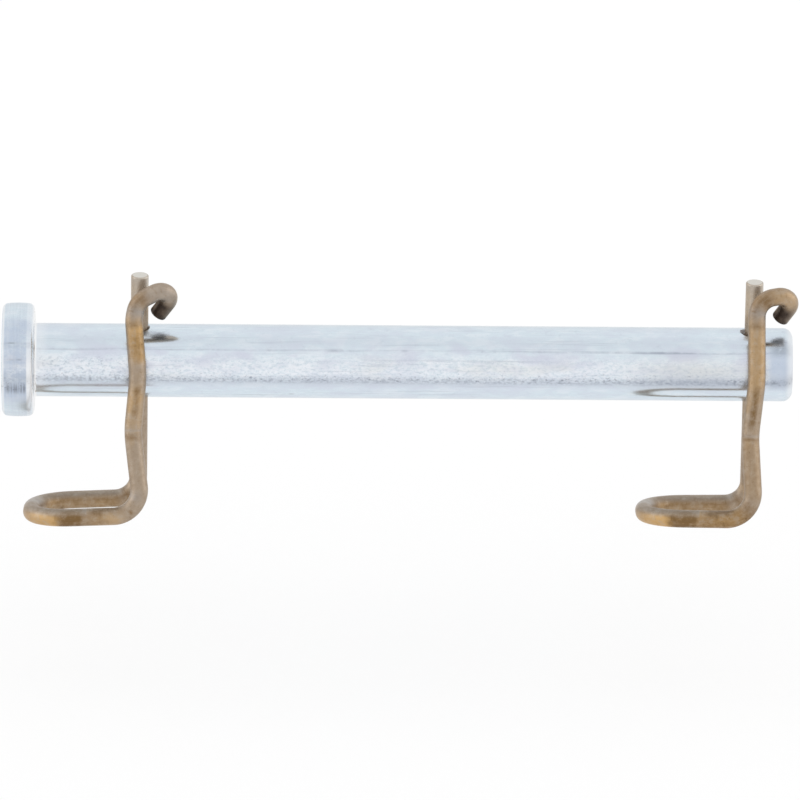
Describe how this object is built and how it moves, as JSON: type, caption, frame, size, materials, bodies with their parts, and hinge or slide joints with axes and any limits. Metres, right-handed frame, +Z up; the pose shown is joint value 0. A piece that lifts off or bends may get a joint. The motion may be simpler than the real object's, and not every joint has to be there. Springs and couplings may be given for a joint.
{
  "type": "hitch pin lock",
  "caption": "Headed steel hitch pin whose cross-holes are locked by bent spring-wire clips that hook over the shaft.",
  "frame": {"origin": "centre of the flat seat under the head, on the pin's axis", "axes": "+X along the pin from the head to the point, +Z up along the clips' straight legs, spring legs on the -Y side"},
  "size_m": [0.1718, 0.0336, 0.0546],
  "materials": {
    "zinc_plated_steel": "bright zinc, satin with turning marks",
    "spring_wire": "yellow zinc, half gloss"
  },
  "bodies": {
    "pin": {"headed_pin": "zinc_plated_steel"},
    "head_end_clip": {"head_end_clip_loop": "spring_wire"},
    "head_end_spring_leg": {"head_end_clip_spring_leg": "spring_wire"},
    "tip_end_clip": {"tip_end_clip_loop": "spring_wire"},
    "tip_end_spring_leg": {"tip_end_clip_spring_leg": "spring_wire"}
  },
  "joints": [
    {"name": "head_end_clip_draw", "type": "slide", "parent": "pin", "child": "head_end_clip", "axis": [-0.0079, 0, -1], "range_m": [0, 0.032], "deforming": ["head_end_clip_spring_leg"]},
    {"name": "head_end_spring_leg_open", "type": "hinge", "parent": "head_end_clip", "child": "head_end_spring_leg", "pos_m": [0.0117, -0.0194, -0.02879], "axis": [0.9992, 0, 0.0403], "range_deg": [0, 15], "stiffness_Nm_per_rad": 1.5, "springref_deg": -5.73},
    {"name": "tip_end_clip_draw", "type": "slide", "parent": "pin", "child": "tip_end_clip", "axis": [-0.0113, 0, -0.9999], "range_m": [0, 0.032], "deforming": ["tip_end_clip_spring_leg"]},
    {"name": "tip_end_spring_leg_open", "type": "hinge", "parent": "tip_end_clip", "child": "tip_end_spring_leg", "pos_m": [0.14383, -0.0194, -0.02824], "axis": [1, 0, -0.0089], "range_deg": [0, 15], "stiffness_Nm_per_rad": 1.5, "springref_deg": -5.73}
  ]
}
